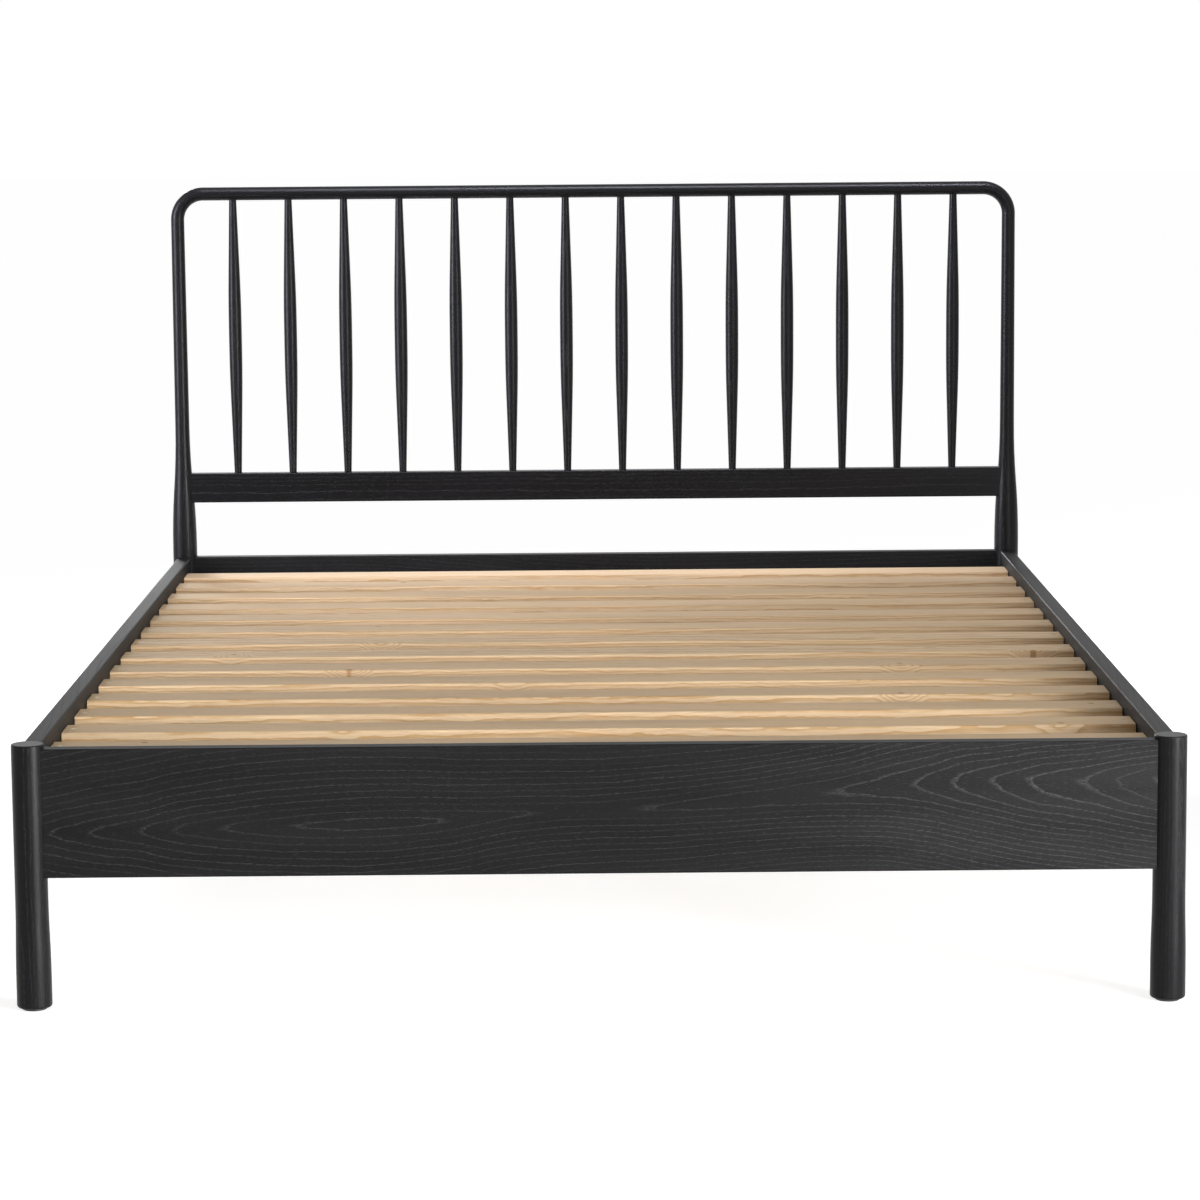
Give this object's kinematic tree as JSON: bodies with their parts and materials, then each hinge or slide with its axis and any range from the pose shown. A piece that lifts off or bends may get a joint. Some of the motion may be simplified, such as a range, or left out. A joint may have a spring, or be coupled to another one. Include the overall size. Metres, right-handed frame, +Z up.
{
  "type": "bed frame",
  "caption": "Black-stained wooden bed frame with a hoop headboard of tapered spindles, round turned posts, plank rails and a slatted base that carries a mattress.",
  "frame": {"origin": "on the floor, under the middle of the frame", "axes": "+X to the right seen from the foot end, +Y from the foot to the headboard, +Z up"},
  "size_m": [1.5994, 2.0994, 1.055],
  "materials": {
    "black_ash": "black-stained open-pored ash, satin lacquer",
    "slat_pine": "planed pine, unfinished",
    "dowel_beech": "plain beech",
    "zinc_steel": "zinc plated",
    "black_coated_steel": "black powder coat",
    "black_plastic": "moulded, fine grain"
  },
  "bodies": {
    "frame": {"foot_post_left": "black_ash", "foot_post_right": "black_ash", "head_post_left": "black_ash", "head_post_right": "black_ash", "foot_rail": "black_ash", "head_rail": "black_ash", "side_rail_left": "black_ash", "side_rail_right": "black_ash", "hoop_corner_left": "black_ash", "hoop_corner_right": "black_ash", "crest_rail": "black_ash", "spindle_rail": "black_ash", "spindle_01": "black_ash", "spindle_02": "black_ash", "spindle_03": "black_ash", "spindle_04": "black_ash", "spindle_05": "black_ash", "spindle_06": "black_ash", "spindle_07": "black_ash", "spindle_08": "black_ash", "spindle_09": "black_ash", "spindle_10": "black_ash", "spindle_11": "black_ash", "spindle_12": "black_ash", "spindle_13": "black_ash", "spindle_14": "black_ash", "centre_leg": "black_ash", "slat_ledge_left": "slat_pine", "slat_ledge_right": "slat_pine", "slat_01": "slat_pine", "slat_02": "slat_pine", "slat_03": "slat_pine", "slat_04": "slat_pine", "slat_05": "slat_pine", "slat_06": "slat_pine", "slat_07": "slat_pine", "slat_08": "slat_pine", "slat_09": "slat_pine", "slat_10": "slat_pine", "slat_11": "slat_pine", "slat_12": "slat_pine", "slat_13": "slat_pine", "slat_14": "slat_pine", "centre_beam": "slat_pine", "joint_dowels": "dowel_beech", "leg_bolt": "zinc_steel", "leg_insert": "zinc_steel", "rail_studs": "zinc_steel", "post_inserts": "zinc_steel", "half_moon_washers": "zinc_steel", "stud_nuts": "zinc_steel", "slat_screws": "zinc_steel", "ledge_screws": "zinc_steel", "hanger_screws": "zinc_steel", "beam_hanger_foot": "black_coated_steel", "beam_hanger_head": "black_coated_steel", "post_glides": "black_plastic"},
    "levelling_foot": {"levelling_pad": "black_plastic"},
    "levelling_screw": {"levelling_stud": "zinc_steel"}
  },
  "joints": [
    {"name": "levelling_travel", "type": "slide", "parent": "frame", "child": "levelling_foot", "axis": [0, 0, -1], "range_m": [-0.008, 0.012]},
    {"name": "levelling_turn", "type": "hinge", "parent": "levelling_foot", "child": "levelling_screw", "pos_m": [0, 0, 0.02], "axis": [0, 0, -1], "range_deg": [-2310, 3462]}
  ],
  "couplings": [
    {"joint": "levelling_turn", "follows": "levelling_travel", "rad_per_m": 5026.5}
  ]
}
